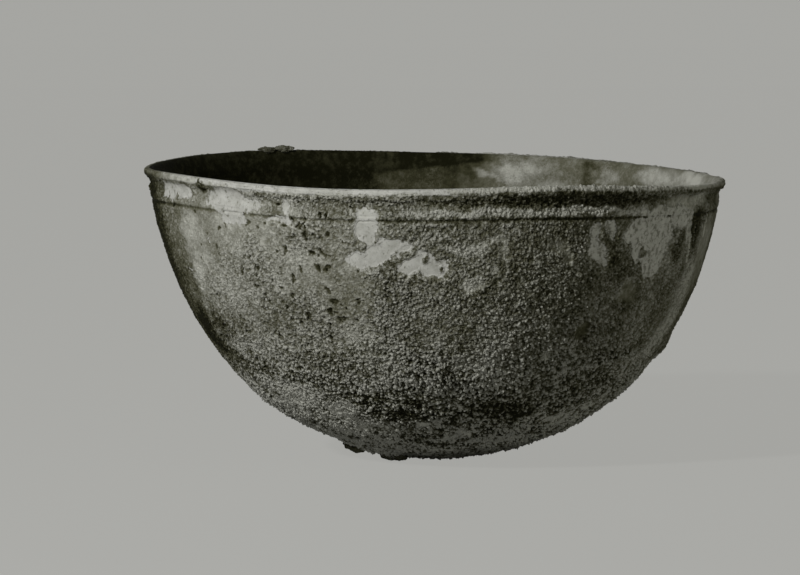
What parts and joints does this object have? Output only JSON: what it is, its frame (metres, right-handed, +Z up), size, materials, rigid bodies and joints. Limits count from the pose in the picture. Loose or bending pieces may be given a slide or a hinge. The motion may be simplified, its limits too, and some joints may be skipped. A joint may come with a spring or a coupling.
{
  "type": "bowl",
  "caption": "Round-bottomed bronze bowl with a turned-out lip, a grooved neck and lumps of corrosion crust.",
  "frame": {"origin": "middle of the small flat patch under the bowl, on which it stands", "axes": "+Z up, square to the flat patch; +X to the right and +Y to the back, seen from the front"},
  "size_m": [0.1089, 0.1088, 0.0556],
  "materials": {
    "bronze": "corroded, granular grey-green patina",
    "crust": "rough, matt"
  },
  "bodies": {
    "root": {"bowl": "bronze", "rim_crust": "crust", "underside_crust_left": "crust", "underside_crust_middle": "crust"}
  },
  "joints": []
}
